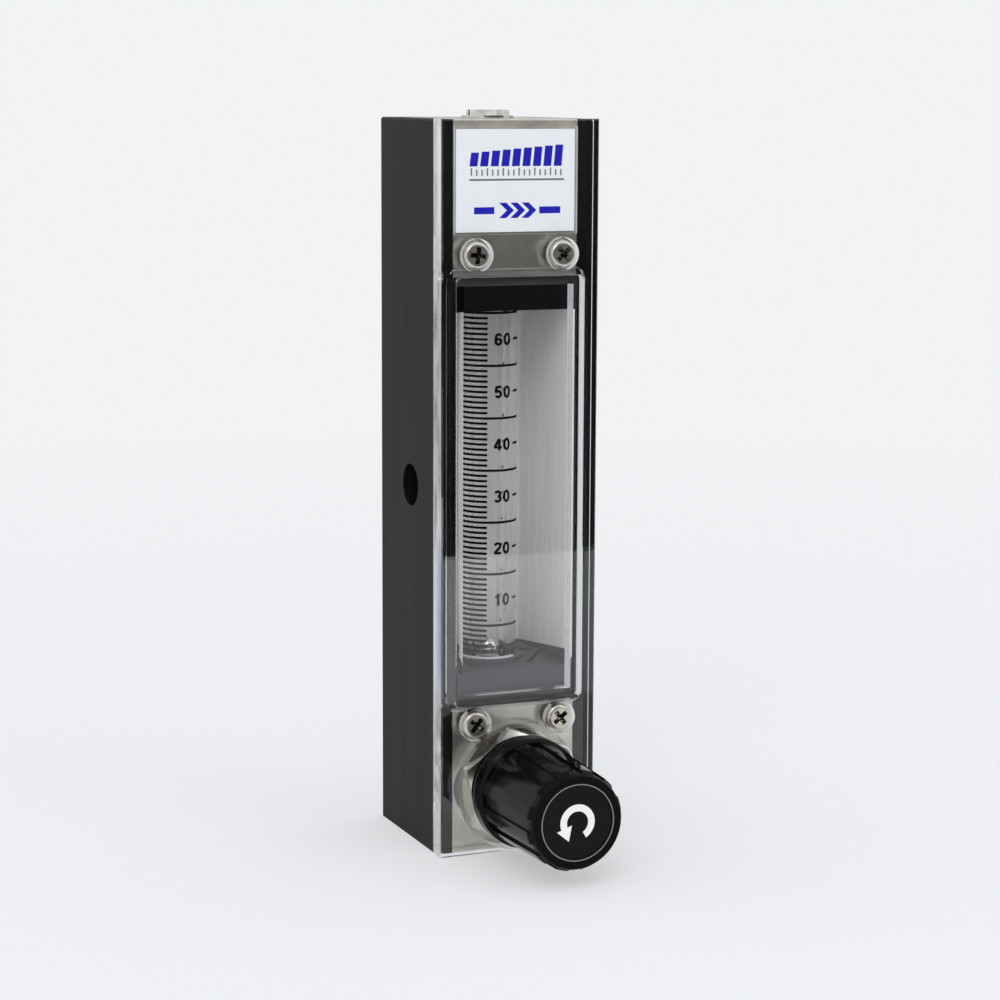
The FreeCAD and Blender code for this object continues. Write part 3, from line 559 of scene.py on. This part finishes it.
# Printed marks
def join_rows(shape, rows, closed=False):
    """Walls four-cornered sections into a solid strip, or into a ring where it closes."""
    pairs = list(zip(rows, rows[1:]))
    if closed:
        pairs.append((rows[-1], rows[0]))
    for near, far in pairs:
        for corner in range(4):
            after = (corner + 1) % 4
            shape.faces.new((near[corner], far[corner], far[after], near[after]))
    if not closed:
        shape.faces.new(rows[0])
        shape.faces.new(list(reversed(rows[-1])))


def ring_strip(shape, radius, thickness, start, end, low, high):
    """Adds a thin curved strip round the Z axis; angles run from straight ahead towards +X."""
    longest_step = math.radians(5)
    steps = max(2, int(abs(end - start) / longest_step) + 1)
    outer = radius + thickness
    rows = []
    for index in range(steps + 1):
        angle = start + (end - start) * index / steps
        out = Vector((math.sin(angle), -math.cos(angle), 0))
        rows.append([shape.verts.new(out * distance + Vector((0, 0, z)))
                     for distance, z in ((radius, low), (outer, low), (outer, high), (radius, high))])
    join_rows(shape, rows)


def arc(across, up, half_width, half_height, start, end):
    """Points on an ellipse from one angle to another, in degrees."""
    step = 18
    steps = max(3, round(abs(end - start) / step))
    angles = [math.radians(start + (end - start) * index / steps) for index in range(steps + 1)]
    return [(across + half_width * math.cos(angle), up + half_height * math.sin(angle))
            for angle in angles]


# Middle lines of bold digits, one high and centred across
DIGIT_STROKES = {
    "0": [arc(0, 0.5, 0.22, 0.41, 0, 360)],
    "1": [[(0.06, 0), (0.06, 1)], [(-0.17, 0.72), (-0.02, 0.78), (0.06, 0.9)]],
    "2": [arc(0, 0.69, 0.21, 0.22, 170, -30) + [(-0.2, 0.17), (-0.2, 0.09), (0.3, 0.09)]],
    "3": [arc(-0.01, 0.71, 0.19, 0.2, 160, -90), arc(-0.01, 0.3, 0.22, 0.21, 90, -160)],
    "4": [[(0.1, 0), (0.1, 0.97)], [(0.06, 0.93), (-0.23, 0.34), (-0.25, 0.26), (0.3, 0.26)]],
    "5": [[(0.25, 0.91), (-0.14, 0.91), (-0.19, 0.47)] + arc(0, 0.33, 0.21, 0.24, 125, -150)],
    "6": [arc(0, 0.3, 0.21, 0.21, 0, 360), arc(0.01, 0.5, 0.22, 0.41, 35, 180) + [(-0.21, 0.3)]],
}


def add_stroke(shape, points, width, place):
    """Adds to a bmesh a flat strip along a line of (across, up) points.

    place(across, up, top) gives each corner, on the strip's underside or its top."""
    longest = 0.1
    touching = 1e-6
    fine = points[:1]
    for near, far in zip(points, points[1:]):
        parts = max(1, math.ceil(math.dist(near, far) / longest))
        for index in range(1, parts + 1):
            share = index / parts
            fine.append((near[0] + (far[0] - near[0]) * share, near[1] + (far[1] - near[1]) * share))
    closed = math.dist(fine[0], fine[-1]) < touching
    if closed:
        fine.pop()
    count = len(fine)
    rows = []
    for index, (across, up) in enumerate(fine):
        before = fine[index - 1] if index or closed else fine[0]
        after = fine[(index + 1) % count] if index + 1 < count or closed else fine[-1]
        along = Vector((after[0] - before[0], after[1] - before[1])).normalized()
        side = Vector((-along.y, along.x)) * width / 2
        corners = ((1, False), (1, True), (-1, True), (-1, False))
        rows.append([shape.verts.new(place(across + sign * side.x, up + sign * side.y, top))
                     for sign, top in corners])
    join_rows(shape, rows, closed)


def add_wrapped_number(shape, text, height, radius, film, angle, z):
    """Wraps bold digits round the tube, their middle at an angle and a height."""
    # From digit to digit, how far each is stretched, and its stroke's width, in digit heights
    pitch = 0.8
    stretch = 1.1
    stroke = 0.21
    for index, digit in enumerate(text):
        shift = (index - (len(text) - 1) / 2) * pitch

        def place(across, up, top):
            turn = angle + (shift + across * stretch) * height / radius
            out = radius + film if top else radius
            return Vector((math.sin(turn) * out, -math.cos(turn) * out, z + (up - 0.5) * height))

        for points in DIGIT_STROKES[digit]:
            add_stroke(shape, points, stroke, place)


# Operators
class ROTAMETER_OT_housing(bpy.types.Operator):
    """Black anodised channel and the screws that hold it"""
    bl_idname = "rotameter.housing"
    bl_label = "Housing"

    def execute(self, context):
        settings = context.scene.rotameter_finish
        dress(black_anodised_aluminium(settings), "housing_channel")
        # Black oxide on alloy screws: dark, slightly oily
        oxide = turned_steel("black_oxide_screw", linear("#1a1a1b"), 0.38, 0.4 * MM)
        dress(oxide, "body_screws", "knob_set_screw")
        return {"FINISHED"}


class ROTAMETER_OT_clear_front(bpy.types.Operator):
    """Clear acrylic cover and the moulded window in it"""
    bl_idname = "rotameter.clear_front"
    bl_label = "Clear front"

    def execute(self, context):
        settings = context.scene.rotameter_finish
        ior = 1.49
        wave_depth = 0.02 * MM
        # Cast acrylic sheet with polished edges and milled holes: a wave of 6 mm that only reflections show
        dress(clear_plastic("cast_acrylic_sheet", settings.acrylic, ior, 6 * MM, wave_depth, milled_walls),
              "front_cover")
        # Injection-moulded clear plastic, dull on the side where the mould parts
        dress(clear_plastic("moulded_clear_window", settings.tray, ior, 4 * MM, wave_depth, textured_side),
              "window_box")
        return {"FINISHED"}


class ROTAMETER_OT_label(bpy.types.Operator):
    """White label with plain coloured marks"""
    bl_idname = "rotameter.label"
    bl_label = "Label"

    def execute(self, context):
        settings = context.scene.rotameter_label
        # Matt polyester film: white, with hardly any grain
        film = moulded_plastic("white_polyester_film", settings.film, 0.5, 1.5 * MM, 0.002 * MM, 0.3, 0.015)
        dress(film, "label_plate")
        low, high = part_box("label_plate")
        width = high.x - low.x
        height = high.z - low.z
        ink = 0.02 * MM
        # Both rows and the rule are placed by shares of the label's width and height
        left = low.x + width * 0.11
        span = width * 0.8
        # Upper row: bars that grow like a flow reading, each leaning a little
        blue = bmesh.new()
        bars = 9
        pitch = span / bars
        bar_width = pitch * 0.74
        base = low.z + height * 0.64
        for index in range(bars):
            x = left + index * pitch
            top = base + settings.bar_height * (0.6 + 0.4 * (index + 1) / bars)
            bar_in_front(blue, x, x + bar_width, base, top, low.y, ink, lean=0.35 * MM)
        # Lower row: three arrow heads between two bars, pointing along the flow
        middle = low.z + height * 0.21
        half = height * 0.075
        for index in range(3):
            x = low.x + width * (0.36 + 0.095 * index)
            prism_in_front(blue, ((x, middle - half), (x + half * 1.1, middle), (x, middle + half),
                                  (x + half, middle + half), (x + half * 2.1, middle),
                                  (x + half, middle - half)), low.y, ink)
        for start, end in ((0.15, 0.32), (0.70, 0.88)):
            bar_in_front(blue, low.x + width * start, low.x + width * end, middle - half * 0.45,
                         middle + half * 0.45, low.y, ink)
        add_piece("label_blue_marks", blue, "frame",
                  printed_ink("blue_label_ink", settings.blue, 0.45))
        # A rule with a row of short strokes over it, every third one taller
        grey = bmesh.new()
        rule = low.z + height * 0.5
        bar_in_front(grey, left, left + span, rule, rule + 0.35 * MM, low.y, ink)
        strokes = 18
        foot = rule + 0.9 * MM
        for index in range(strokes):
            x = left + span * (index + 0.25) / strokes
            tall = 1.125 * MM if index % 3 else 1.425 * MM
            bar_in_front(grey, x, x + 0.28 * MM, foot, foot + tall, low.y, ink)
        add_piece("label_grey_marks", grey, "frame",
                  printed_ink("grey_label_ink", settings.grey, 0.45))
        return {"FINISHED"}


class ROTAMETER_OT_end_blocks(bpy.types.Operator):
    """Stainless end blocks and the screws that hold the cover"""
    bl_idname = "rotameter.end_blocks"
    bl_label = "End blocks and screws"

    def execute(self, context):
        settings = context.scene.rotameter_finish
        dress(brushed_stainless_steel(settings), "inlet_block", "outlet_block")
        # The second colour darkens the screws' cross recesses: dirt, and painted shade
        dress(screw_steel(linear("#d3cec5"), linear("#1c1815")), "cover_screws")
        return {"FINISHED"}


class ROTAMETER_OT_tube(bpy.types.Operator):
    """Glass metering tube with its fired scale, the float and its stops"""
    bl_idname = "rotameter.tube"
    bl_label = "Metering tube and float"

    def execute(self, context):
        settings = context.scene.rotameter_scale
        # Borosilicate glass, drawn over a mandrel: clear, with a slow ripple of 3 mm
        glass = clear_plastic("borosilicate_glass", linear("#fefefe"), 1.42, 3 * MM, 0.002 * MM)
        dress(glass, "metering_tube")
        low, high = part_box("metering_tube")
        # The print stands 0.01 mm clear of the glass
        radius = (high.x - low.x) / 2 + 0.01 * MM
        film = 0.02 * MM
        half = settings.line_height / 2
        mark_start = math.radians(36)
        numbered, longer = 10, 5
        lines = bmesh.new()
        digits = bmesh.new()
        for index in range(settings.divisions + 1):
            z = settings.zero_height + index * settings.division
            end = settings.long_end if index % numbered == longer else settings.short_end
            ring_strip(lines, radius, film, settings.short_start, end, z - half, z + half)
            if index % numbered == 0:
                add_wrapped_number(digits, str(index), settings.digit_height, radius, film,
                                   settings.digit_angle, z)
                # A short mark follows each number but the lowest
                if index:
                    ring_strip(lines, radius, film, mark_start, settings.long_end, z - half, z + half)
        # Ink fired into the glass: black and dull
        ink = printed_ink("fired_black_ink", settings.ink, 0.6, 0.08)
        add_piece("scale_lines", lines, "frame", ink)
        add_piece("scale_digits", digits, "frame", ink)
        # A pale strip at the front of the tube's foot, on the seat's collar, is a painted highlight of the
        # glass foot's lit rim
        collar_top = 35.3 * MM
        highlight_height, highlight_width = 0.3 * MM, 0.6 * MM
        highlight_start, highlight_end = math.radians(-100), math.radians(34)
        painted_foot_highlight = bmesh.new()
        ring_strip(painted_foot_highlight, radius, highlight_width, highlight_start, highlight_end, collar_top, collar_top + highlight_height)
        # Pale and satin: the finish of the painted highlight
        highlight_finish = moulded_plastic("pale_painted_highlight", linear("#dddee0"), 0.4, 0.8 * MM, 0.02 * MM)
        add_piece("tube_foot_painted_highlight", painted_foot_highlight, "frame", highlight_finish)
        # Stainless ball, lapped bright
        dress(turned_steel("lapped_steel_ball", linear("#dcd8d0"), 0.06, 1.0 * MM), "float_ball")
        # Fluoropolymer stops, turned: waxy white
        dress(moulded_plastic("white_fluoropolymer", linear("#dcdcd8"), 0.5, 0.6 * MM, 0.01 * MM, 0.3),
              "inlet_float_stop", "outlet_float_stop")
        return {"FINISHED"}


class ROTAMETER_OT_seats(bpy.types.Operator):
    """Tube seats, the liner behind the tube and the rubber seals"""
    bl_idname = "rotameter.seats"
    bl_label = "Seats, liner and seals"

    def execute(self, context):
        settings = context.scene.rotameter_finish
        dress(two_sided_liner(settings), "back_reflector")
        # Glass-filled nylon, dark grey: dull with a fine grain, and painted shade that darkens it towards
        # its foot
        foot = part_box("lower_seat")[0].z
        painted_foot_shade = "Z", foot + 3.5 * MM, foot + 0.5 * MM, linear("#161617"), 0.5
        dress(moulded_plastic("grey_filled_nylon", linear("#4b4c4f"), 0.5, 0.5 * MM, 0.02 * MM, 0.25,
                              painted_shading_and_wear=painted_foot_shade), "lower_seat")
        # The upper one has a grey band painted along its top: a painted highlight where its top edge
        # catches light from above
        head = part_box("upper_seat")[1].z
        painted_shading_band = "Z", head - 1.8 * MM, head - 1.5 * MM, linear("#454547"), 0.42
        dress(moulded_plastic("black_filled_nylon", linear("#0b0b0c"), 0.42, 0.5 * MM, 0.02 * MM, 0.12,
                              painted_shading_and_wear=painted_shading_band), "upper_seat")
        # Moulded fluorocarbon rubber: black and dull
        dress(moulded_plastic("black_seal_rubber", linear("#19191a"), 0.7, 0.4 * MM, 0.02 * MM, 0.3),
              "lower_gasket", "upper_gasket", "bonnet_oring", "stem_oring", "spindle_oring")
        return {"FINISHED"}


class ROTAMETER_OT_valve(bpy.types.Operator):
    """Valve bonnet, stem, needle and seat"""
    bl_idname = "rotameter.valve"
    bl_label = "Needle valve"

    def execute(self, context):
        # Turned stainless bar: bright, with fine rings
        steel = turned_steel("turned_stainless_bar", linear("#d2cfc9"), 0.17, 0.3 * MM)
        dress(steel, "valve_bonnet", "valve_stem", "valve_needle", "valve_seat", "stem_clip",
              "spindle_follower")
        # The spindle's head is handled and stained, in patches 2 mm across
        dress(turned_steel("stained_stainless_head", linear("#f2eee6"), 0.12, 2.2 * MM, 0.6),
              "spindle_screw")
        return {"FINISHED"}


class ROTAMETER_OT_knob(bpy.types.Operator):
    """Black knob, the disc in its face and the turning arrow on it"""
    bl_idname = "rotameter.knob"
    bl_label = "Knob"

    def execute(self, context):
        settings = context.scene.rotameter_finish
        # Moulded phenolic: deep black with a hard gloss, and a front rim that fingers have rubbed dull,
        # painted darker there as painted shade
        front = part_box("knob")[0].y
        painted_shading_band = "Y", front + 2.5 * MM, front + 1.7 * MM, linear("#040404"), 0.45
        dress(moulded_plastic("moulded_black_phenolic", settings.knob, 0.11, 0.8 * MM, 0.004 * MM, 0.1,
                              painted_shading_and_wear=painted_shading_band), "knob")
        low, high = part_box("knob_disc")
        dress(rimmed_disc(linear("#120e0b"), linear("#8d8c88"), low, high), "knob_disc")
        centre = (low + high) / 2
        rim_height = 0.2 * MM
        face = low.y + rim_height
        ink = 0.03 * MM
        inner, band = 2.1 * MM, 1.3 * MM
        head, tail = math.radians(-110), math.radians(150)
        arrow = bmesh.new()
        ring_strip(arrow, inner, band, head, tail, -ink / 2, ink / 2)
        # The band lies round +Z; it is stood up in front of the disc
        for vertex in arrow.verts:
            across, along, deep = vertex.co
            vertex.co = (centre.x + across, face - ink / 2 + deep, centre.z - along)
        # The arrow's head starts where the band ends, and is wider than it
        outward = Vector((math.sin(head), math.cos(head)))
        ahead = Vector((-math.cos(head), math.sin(head)))
        root = Vector((centre.x, centre.z)) + outward * (inner + band / 2)
        corners = (root + outward * band * 1.2, root + ahead * band * 2, root - outward * band * 1.2)
        prism_in_front(arrow, corners, face, ink)
        # White print: opaque and satin
        add_piece("turning_arrow", arrow, "knob_group",
                  printed_ink("white_print", linear("#f4f4f2"), 0.4))
        return {"FINISHED"}


class ROTAMETER_OT_stage(bpy.types.Operator):
    """Pale floor, soft light and the camera of the photograph"""
    bl_idname = "rotameter.stage"
    bl_label = "Stage"

    def execute(self, context):
        settings = context.scene.rotameter_stage
        scene = context.scene
        scene.view_settings.view_transform = "Standard"
        self.add_floor(settings)
        self.add_dark_room(settings)
        self.light_world(scene, settings)
        self.add_lamps()
        self.add_camera(scene, settings)
        return {"FINISHED"}

    def add_floor(self, settings):
        """A wide pale sheet that carries the object, and fades into the backdrop."""
        reach = 30
        corners = ((-reach, -reach), (reach, -reach), (reach, reach), (-reach, reach))
        shape = bmesh.new()
        shape.faces.new([shape.verts.new((x, y, 0)) for x, y in corners])
        material, tree = new_material("pale_floor")
        place = add_node(tree, "ShaderNodeNewGeometry")
        far = add_node(tree, "ShaderNodeVectorMath", {0: (place, "Position")}, operation="LENGTH")
        fade = add_node(tree, "ShaderNodeMapRange", {
            "Value": (far, "Value"), "From Min": 0.1, "From Max": 0.6, "To Min": 0.45})
        sheet = add_node(tree, "ShaderNodeBsdfDiffuse", {"Color": settings.backdrop})
        glow = add_node(tree, "ShaderNodeEmission", {"Color": settings.backdrop, "Strength": 1.0})
        mixed = add_node(tree, "ShaderNodeMixShader", {0: fade, 1: sheet, 2: glow})
        add_node(tree, "ShaderNodeOutputMaterial", {"Surface": mixed})
        self.add_stage_piece("floor", shape, material)

    def add_dark_room(self, settings):
        """The dark room in front of the table, which only reflections see."""
        left, right = -1.6, 2.6
        far_y, top = -2.0, 1.4
        over_floor = 0.002
        shape = bmesh.new()
        rows = [[shape.verts.new((x, y, z)) for x in (left, right)]
                for y, z in ((-settings.table_edge, over_floor), (far_y, over_floor), (far_y, top))]
        for near, far in zip(rows, rows[1:]):
            shape.faces.new((near[0], near[1], far[1], far[0]))
        material, tree = new_material("dark_cloth")
        cloth = add_node(tree, "ShaderNodeBsdfDiffuse", {"Color": linear("#161616")})
        add_node(tree, "ShaderNodeOutputMaterial", {"Surface": cloth})
        room = self.add_stage_piece("dark_room", shape, material)
        room.visible_camera = False
        room.visible_diffuse = False
        room.visible_shadow = False

    def add_stage_piece(self, name, shape, material):
        """A piece of the studio, which isn't part of the object."""
        mesh = mesh_from(shape, name)
        mesh.materials.append(material)
        piece = bpy.data.objects.new(name, mesh)
        bpy.context.scene.collection.objects.link(piece)
        return piece

    def light_world(self, scene, settings):
        """Even light from all round, seen by camera, gloss and glass as the pale backdrop."""
        world = bpy.data.worlds.new("pale_studio")
        scene.world = world
        world.use_nodes = True
        tree = world.node_tree
        tree.nodes.clear()
        path = add_node(tree, "ShaderNodeLightPath")
        seen = path, "Is Camera Ray"
        for ray in ("Is Glossy Ray", "Is Transmission Ray"):
            seen = add_node(tree, "ShaderNodeMath", {0: seen, 1: (path, ray)}, operation="MAXIMUM")
        light = add_node(tree, "ShaderNodeBackground", {"Color": linear("#fdfdff"), "Strength": 0.8})
        shown = add_node(tree, "ShaderNodeBackground", {"Color": settings.backdrop, "Strength": 1.0})
        mixed = add_node(tree, "ShaderNodeMixShader", {0: seen, 1: light, 2: shown})
        add_node(tree, "ShaderNodeOutputWorld", {"Surface": mixed})

    def add_lamps(self):
        """Two soft boxes in front and a larger one overhead, all aimed at the middle of the object."""
        aim = Vector((0, 0, 0.07))
        # Name, place, side in metres and power in watts
        lamps = (
            ("key_softbox", (-0.5, -0.7, 0.75), 0.5, 1.9),
            ("fill_softbox", (0.6, -0.75, 0.45), 0.5, 1.0),
            ("overhead_softbox", (0.0, 0.1, 1.3), 1.2, 1.4),
        )
        for name, place, side, power in lamps:
            lamp = bpy.data.lights.new(name, "AREA")
            lamp.shape = "SQUARE"
            lamp.size = side
            lamp.energy = power
            holder = bpy.data.objects.new(name, lamp)
            bpy.context.scene.collection.objects.link(holder)
            holder.location = place
            holder.rotation_euler = (aim - Vector(place)).to_track_quat("-Z", "Y").to_euler()

    def add_camera(self, scene, settings):
        """The photograph's camera, from its place, yaw, pitch and roll."""
        data = bpy.data.cameras.new("photograph_camera")
        data.lens = settings.lens
        data.sensor_width = 36
        data.clip_start = 0.01
        camera = bpy.data.objects.new("photograph_camera", data)
        scene.collection.objects.link(camera)
        yaw, pitch, roll = settings.yaw, settings.pitch, settings.roll
        ahead = Vector((math.sin(yaw) * math.cos(pitch), math.cos(yaw) * math.cos(pitch),
                        -math.sin(pitch)))
        right = Vector((math.cos(yaw), -math.sin(yaw), 0))
        up = right.cross(ahead)
        turned_right = right * math.cos(roll) + up * math.sin(roll)
        turned_up = up * math.cos(roll) - right * math.sin(roll)
        rotation = Matrix((turned_right, turned_up, -ahead)).transposed()
        camera.matrix_world = Matrix.Translation(Vector(settings.camera_place)) @ rotation.to_4x4()
        scene.camera = camera


SETTINGS = {
    "rotameter_scale": RotameterScaleSettings,
    "rotameter_label": RotameterLabelSettings,
    "rotameter_finish": RotameterFinishSettings,
    "rotameter_stage": RotameterStageSettings,
}

OPERATORS = (
    ROTAMETER_OT_stage,
    ROTAMETER_OT_housing,
    ROTAMETER_OT_clear_front,
    ROTAMETER_OT_label,
    ROTAMETER_OT_end_blocks,
    ROTAMETER_OT_tube,
    ROTAMETER_OT_seats,
    ROTAMETER_OT_valve,
    ROTAMETER_OT_knob,
)


class ROTAMETER_PT_panel(bpy.types.Panel):
    """Lists the rotameter's operators and sizes"""
    bl_idname = "ROTAMETER_PT_panel"
    bl_label = "Rotameter"
    bl_space_type = "VIEW_3D"
    bl_region_type = "UI"
    bl_category = "Rotameter"

    def draw(self, context):
        layout = self.layout
        for operator in OPERATORS:
            layout.operator(operator.bl_idname)
        for settings in SETTINGS:
            group = getattr(context.scene, settings)
            box = layout.box()
            for name in group.bl_rna.properties.keys():
                if name not in ("rna_type", "name"):
                    box.prop(group, name)


def register():
    for name, group in SETTINGS.items():
        bpy.utils.register_class(group)
        setattr(bpy.types.Scene, name, bpy.props.PointerProperty(type=group))
    for operator in OPERATORS:
        bpy.utils.register_class(operator)
    bpy.utils.register_class(ROTAMETER_PT_panel)


def unregister():
    bpy.utils.unregister_class(ROTAMETER_PT_panel)
    for operator in reversed(OPERATORS):
        bpy.utils.unregister_class(operator)
    for name, group in reversed(SETTINGS.items()):
        delattr(bpy.types.Scene, name)
        bpy.utils.unregister_class(group)


def main():
    """Gives the frame its finish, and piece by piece."""
    register()
    bpy.ops.rotameter.stage()
    bpy.ops.rotameter.housing()
    bpy.ops.rotameter.clear_front()
    bpy.ops.rotameter.label()
    bpy.ops.rotameter.end_blocks()
    bpy.ops.rotameter.tube()
    bpy.ops.rotameter.seats()
    bpy.ops.rotameter.valve()
    bpy.ops.rotameter.knob()


if __name__ == "__main__":
    main()
